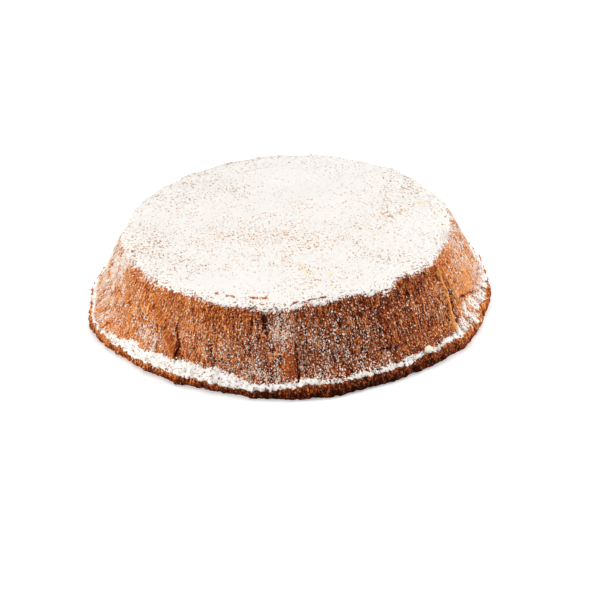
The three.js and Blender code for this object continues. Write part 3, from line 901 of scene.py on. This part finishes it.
# Strip lifted off the crust by the drift's thickness, and under the crust wherever that is negative
def makeSugarLedge():
    drift = ledgeDrift
    columns = np.arange(drift["columns"]) * 360 / drift["columns"] - 180
    ways = np.linspace(mark["lip"] - drift["below"], mark["ledge"] + drift["above"], drift["rows"])
    column, along = np.meshgrid(columns, ways)
    place, normal, angle = crust(column, along)
    axes = np.moveaxis(place, -1, 0)
    above = along - mark["lip"]
    inside = np.minimum(above - readRound(driftLower, angle), readRound(driftUpper, angle) - above)
    inside = inside + grain(drift["ragged"], *axes) * (1 - rises(inside, drift["raggedLoss"]))
    streaks = drift["streakLoss"] + grain(drift["streaks"], *fallLine(angle, along))
    thick = rises(inside, *drift["rises"]) - drift["dip"] - swell(streakedDrift, angle) * streaks
    thick = np.maximum(thick + grain(drift["uneven"], *axes), -drift["sunk"])
    thick[[0, -1]] = -drift["sunk"]

    below = (place - normal * drift["under"])[::drift["underRows"]]  # closes the strip under the crust
    points = np.concatenate([(place + normal * thick[..., None]).reshape(-1, 3), below.reshape(-1, 3)])
    rows, count = column.shape
    ring, lowStart, lowRows = np.arange(count), rows * count, len(below)
    faces = wrapQuads(rows, count)
    faces += [face[::-1] for face in wrapQuads(lowRows, count, lowStart)]
    faces += ringQuads(ring + lowStart, ring)
    faces += ringQuads(ring + lowStart - count, ring + lowStart + (lowRows - 1) * count)
    hidden = np.zeros(lowRows * count)
    thin = drift["thin"] + rises(thick, drift["thinThick"])
    # brown under the drift follows the rim's table, with its painted shade at the front
    brown = np.clip(drift["brown"] + readRound(rimToastAndShadeRound, angle), 0, 1)
    attributes = {"thin": np.append(thin, hidden), "brown": np.append(brown, hidden)}
    piece = addPiece("sugarLedge", points, faces, sugar, attributes)


makeSugarLedge()


# Half sizes between small and large, and the more of them small the higher the power
def drawSizes(draw, pieces, count):
    return pieces["small"] + (pieces["large"] - pieces["small"]) * draw.random(count) ** pieces["sizePower"]


# Loose grains of sugar on the wall: how many are tried and kept, half size in mm, how likely they are in the
# dusting and near the film's edge, and the least and most of each arm
looseGrains = {"tries": 90000, "kept": 13000, "seed": 5, "small": 0.18, "large": 0.45, "sizePower": 2.0,
               "veilChance": 0.8, "veilPower": 1.2, "edgeChance": 0.2, "edgePast": 1, "edgeSpread": 2,
               "belowTop": 2, "step": 0.4, "lift": 0.15, "upArm": (0.9, 2.2), "sideArm": (0.7, 1.2),
               "outArm": (0.4, 0.8)}


# Octahedra on the crust: six corners up the wall, across it and along the normal, each arm of its own length
def makeSugarGrains():
    loose, tries = looseGrains, looseGrains["tries"]
    draw = np.random.default_rng(loose["seed"])
    column = draw.uniform(-180, 180, tries)
    along = draw.uniform(mark["lip"], mark["top"] - loose["belowTop"], tries)
    place, normal, angle = crust(column, along)
    upward = baked(column, along + loose["step"])[0] - baked(column, along - loose["step"])[0]
    nearFilm = bell((insideFilm(along, angle) + loose["edgePast"]) / loose["edgeSpread"])
    chance = loose["veilChance"] * veilShare(along, angle) ** loose["veilPower"]
    chance = chance + loose["edgeChance"] * nearFilm
    kept = np.flatnonzero(draw.random(tries) < chance)[:loose["kept"]]
    place, normal, upward = place[kept], normal[kept], upward[kept]
    upward /= np.linalg.norm(upward, axis=1, keepdims=True)
    across = np.cross(normal, upward)
    size = drawSizes(draw, loose, len(kept))
    corners = []
    for direction, arm in ((upward, "upArm"), (across, "sideArm"), (-upward, "upArm"), (-across, "sideArm"),
                           (normal, "outArm"), (-normal, "outArm")):
        corners.append(direction * (size * draw.uniform(*loose[arm], len(kept)))[:, None])
    points = (place + normal * (loose["lift"] * size)[:, None])[:, None, :] + np.stack(corners, 1)
    sides = np.array([(0, 1, 4), (1, 2, 4), (2, 3, 4), (3, 0, 4), (1, 0, 5), (2, 1, 5), (3, 2, 5), (0, 3, 5)])
    faces = (np.arange(len(kept))[:, None, None] * len(corners) + sides).reshape(-1, 3).tolist()
    piece = addPiece("sugarGrains", points, faces, looseSugar)


makeSugarGrains()


# Two directions along the surface at each normal, turned by a random spin
def spunAxes(normal, draw):
    across = np.cross((0, 0, 1), normal)
    across /= np.maximum(np.linalg.norm(across, axis=1, keepdims=True), 1e-6)
    upward = np.cross(normal, across)
    spin = draw.uniform(0, np.pi, len(normal))[:, None]
    return across * np.cos(spin) + upward * np.sin(spin), upward * np.cos(spin) - across * np.sin(spin)


# Lumps: the least and most of their stretch and of each corner's push, and the share of them that is sunk
lumpShape = {"stretch": (0.7, 1.3), "push": (0.75, 1.25), "sunk": 0.1}


# Icosahedra on the crust: twelve corners at golden rectangles, stretched and each pushed in or out at random
def lumps(place, normal, size, draw):
    long = (1 + 5 ** 0.5) / 2
    corner = np.array([(-1, long, 0), (1, long, 0), (-1, -long, 0), (1, -long, 0), (0, -1, long),
                       (0, 1, long), (0, -1, -long), (0, 1, -long), (long, 0, -1), (long, 0, 1),
                       (-long, 0, -1), (-long, 0, 1)])
    corner = corner / np.linalg.norm(corner[0])
    sides = np.array([(0, 11, 5), (0, 5, 1), (0, 1, 7), (0, 7, 10), (0, 10, 11), (1, 5, 9), (5, 11, 4),
                      (11, 10, 2), (10, 7, 6), (7, 1, 8), (3, 9, 4), (3, 4, 2), (3, 2, 6), (3, 6, 8),
                      (3, 8, 9), (4, 9, 5), (2, 4, 11), (6, 2, 10), (8, 6, 7), (9, 8, 1)])
    axes = np.stack([*spunAxes(normal, draw), normal], 1)
    stretch = size[:, None, None] * draw.uniform(*lumpShape["stretch"], (len(size), 1, 3))
    push = draw.uniform(*lumpShape["push"], (len(size), len(corner), 1))
    middle = place - normal * (lumpShape["sunk"] * size)[:, None]
    points = middle[:, None, :] + (corner * stretch * push) @ axes
    faces = (np.arange(len(size))[:, None, None] * len(corner) + sides).reshape(-1, 3).tolist()
    return points, faces


# Clumps of sugar in the drift, at the film's edge and on the wall: how many, half size in mm, how far up the
# drift they go, and the mean and spread of how far they strayed
sugarClumps = {"ledge": 5600, "edge": 2600, "wall": 2600, "seed": 8, "small": 0.2, "large": 0.7,
               "sizePower": 3, "driftMost": 6, "driftLeast": 0.5, "driftStray": (0.4, 0.8),
               "edgeStray": (0.3, 1.0)}


# Lumps between the drift's edges, then about the film's edge, then on the wall as thick as the dusting
def makeSugarClumps():
    clumps, wall = sugarClumps, sugarClumps["wall"]
    draw = np.random.default_rng(clumps["seed"])
    count = clumps["ledge"] + clumps["edge"] + wall
    column = draw.uniform(-180, 180, count)
    angle = baked(column, np.full(count, mark["ledge"]))[1]
    lower = readRound(driftLower, angle)
    upper = np.minimum(readRound(driftUpper, angle), lower + clumps["driftMost"])
    along = lower + (upper - lower) * draw.random(count) + draw.normal(*clumps["driftStray"], count)
    along = mark["lip"] + np.maximum(along, lower + clumps["driftLeast"])
    angle = baked(column, np.full(count, mark["shoulder"]))[1]
    stray = readRound(raggedRound, angle) * draw.normal(*clumps["edgeStray"], count)
    edge = mark["top"] - readRound(reachRound, angle) + stray
    along[clumps["ledge"]:] = edge[clumps["ledge"]:]
    along[-wall:] = draw.uniform(mark["ledge"], mark["shoulder"], wall)
    place, normal, angle = crust(column, along)
    kept = draw.random(count) < veilShare(along, angle)
    kept[:-wall] = True
    size = drawSizes(draw, clumps, count)
    points, faces = lumps(place[kept], normal[kept], size[kept], draw)
    piece = addPiece("sugarClumps", points, faces, sugar)


makeSugarClumps()

# Drop of cream on the ledge: its angle, mm above the lip, half width and half height in mm, how narrow it is
# one way, the share that it stands clear of the crust, its grid and its unevenness
creamDrop = {"angle": -48.8, "above": 2.2, "half": 2.5, "high": 1.7, "narrow": 0.9, "lift": 0.4, "rows": 18,
             "columns": 32, "uneven": [(0.12, 1.6, 1, 41, 2)], "unevenScale": 2.2}


# Uneven ball: sine of the row times the half width round the normal, cosine times the half height along it
def makeCreamDrop():
    drop = creamDrop
    rows, columns = drop["rows"], drop["columns"]
    place, normal = crust(np.full(1, drop["angle"]), np.full(1, mark["lip"] + drop["above"]))[:2]
    across = np.cross((0, 0, 1), normal[0])
    across /= np.linalg.norm(across)
    sides = np.stack([across, np.cross(normal[0], across), normal[0]])
    tilts = np.linspace(np.pi, 0, rows + 2)[1:-1]
    around, tilt = np.meshgrid(np.arange(columns) * 2 * np.pi / columns, tilts)
    ball = np.stack([np.sin(tilt) * np.cos(around), np.sin(tilt) * np.sin(around), np.cos(tilt)], -1)
    ball = np.concatenate([ball.reshape(-1, 3), [(0, 0, -1), (0, 0, 1)]])
    uneven = grain(drop["uneven"], *(drop["unevenScale"] * ball.T))
    ball = ball * (1 + uneven)[:, None] * (drop["half"], drop["narrow"] * drop["half"], drop["high"])
    ring, count = np.arange(columns), rows * columns
    faces = wrapQuads(rows, columns)
    faces += fan(ring, count, False) + fan(ring + count - columns, count + 1, True)
    points = place + drop["lift"] * drop["high"] * normal + ball @ sides
    piece = addPiece("creamDrop", points, faces, cream)


makeCreamDrop()

# Crumbs of crust on the rim and the ledge: how many, half size in mm, how far below the lip they lie and
# spread, and how near they come to the foot and past the ledge
crustCrumbs = {"count": 1100, "seed": 3, "small": 0.25, "large": 0.9, "sizePower": 2.5,
               "belowLip": 2.4, "spread": 1.6, "aboveFoot": 2, "aboveLedge": 6}


# Lumps about a line below the lip
def makeCrumbs():
    crumbs, count = crustCrumbs, crustCrumbs["count"]
    draw = np.random.default_rng(crumbs["seed"])
    column = draw.uniform(-180, 180, count)
    along = draw.normal(mark["lip"] - crumbs["belowLip"], crumbs["spread"], count)
    along = np.clip(along, mark["foot"] + crumbs["aboveFoot"], mark["ledge"] + crumbs["aboveLedge"])
    place, normal = crust(column, along)[:2]
    size = drawSizes(draw, crumbs, count)
    points, faces = lumps(place, normal, size, draw)
    piece = addPiece("crustCrumbs", points, faces, crumb)


makeCrumbs()

# Studio: a pale floor, softboxes at both sides and above, and an even white surround; metres and watts
floorLook = {"reach": 6.0, "seenColour": (0.9, 0.9, 0.9), "litColour": (0.3, 0.3, 0.3), "glow": 0.3,
             "roughness": 0.9}
softboxes = {
    "leftBox": {"at": (-1.1, -0.6, 0.4), "size": 0.7, "watts": 14, "colour": (1.0, 0.98, 0.95)},
    "rightBox": {"at": (1.25, 0.05, 0.4), "size": 0.7, "watts": 15.5, "colour": (1.0, 0.98, 0.95)},
    "topBox": {"at": (0.0, 0.1, 1.5), "size": 1.2, "watts": 10.5, "colour": (1.0, 1.0, 1.0)},
}
boxAim = (0, 0, 0.03)
surroundStrength = 0.22


# One square, brighter where the camera sees it than where it lights the cake
def makeFloor():
    look, reach = floorLook, floorLook["reach"]
    corners = [(-reach, -reach, 0), (reach, -reach, 0), (reach, reach, 0), (-reach, reach, 0)]
    mesh = bpy.data.meshes.new("floor")
    mesh.from_pydata(corners, [], [(0, 1, 2, 3)])
    coat = Finish("paleFloor")
    seen = coat.add("LightPath").outputs["Is Camera Ray"]
    coat.wear("Base Color", coat.mix(seen, look["litColour"], look["seenColour"]))
    coat.wear("Roughness", look["roughness"])
    coat.wear("Emission Color", (1, 1, 1))
    coat.wear("Emission Strength", coat.times(seen, look["glow"]))
    mesh.materials.append(coat.material)
    floor = bpy.data.objects.new("floor", mesh)
    bpy.context.scene.collection.objects.link(floor)


# Square lamps, each turned from its place towards one point of the cake, and a plain white surround
def makeLights():
    for name, box in softboxes.items():
        light = bpy.data.lights.new(name, "AREA")
        light.size, light.energy, light.color = box["size"], box["watts"], box["colour"]
        lamp = bpy.data.objects.new(name, light)
        lamp.location = box["at"]
        lamp.rotation_euler = (Vector(boxAim) - lamp.location).to_track_quat("-Z", "Y").to_euler()
        bpy.context.scene.collection.objects.link(lamp)
    world = bpy.data.worlds.new("studio")
    world.use_nodes = True
    background = world.node_tree.nodes["Background"]
    background.inputs["Color"].default_value = (1, 1, 1, 1)
    background.inputs["Strength"].default_value = surroundStrength
    bpy.context.scene.world = world


# Camera at the photograph's place: metres from the middle of the foot, degrees down, roll, focal length and
# frame in pixels, sensor in mm
cameraPlace = {"at": (0.00557, -1.12101, 0.60088), "down": 28.262, "roll": -1.872, "focal": 2094.06,
               "frame": 600, "sensor": 36.0}


# Looks down towards the back and is rolled about its own axis; the lens is the focal length over the frame,
# times the sensor
def makeCamera():
    down, roll = np.radians(cameraPlace["down"]), np.radians(cameraPlace["roll"])
    forward = Vector((0, np.cos(down), -np.sin(down)))
    right, up = Vector((1, 0, 0)), Vector((0, np.sin(down), np.cos(down)))
    across = right * np.cos(roll) + up * np.sin(roll)
    above = up * np.cos(roll) - right * np.sin(roll)
    camera = bpy.data.cameras.new("camera")
    camera.sensor_width = cameraPlace["sensor"]
    camera.lens = cameraPlace["focal"] / cameraPlace["frame"] * cameraPlace["sensor"]
    view = bpy.data.objects.new("camera", camera)
    facing = Matrix((across, above, -forward)).transposed().to_4x4()
    view.matrix_world = Matrix.Translation(cameraPlace["at"]) @ facing
    bpy.context.scene.collection.objects.link(view)
    bpy.context.scene.camera = view


makeFloor()
makeLights()
makeCamera()
bpy.context.scene.view_settings.view_transform = "Standard"
print("studio ready")

bpy.context.view_layer.update()
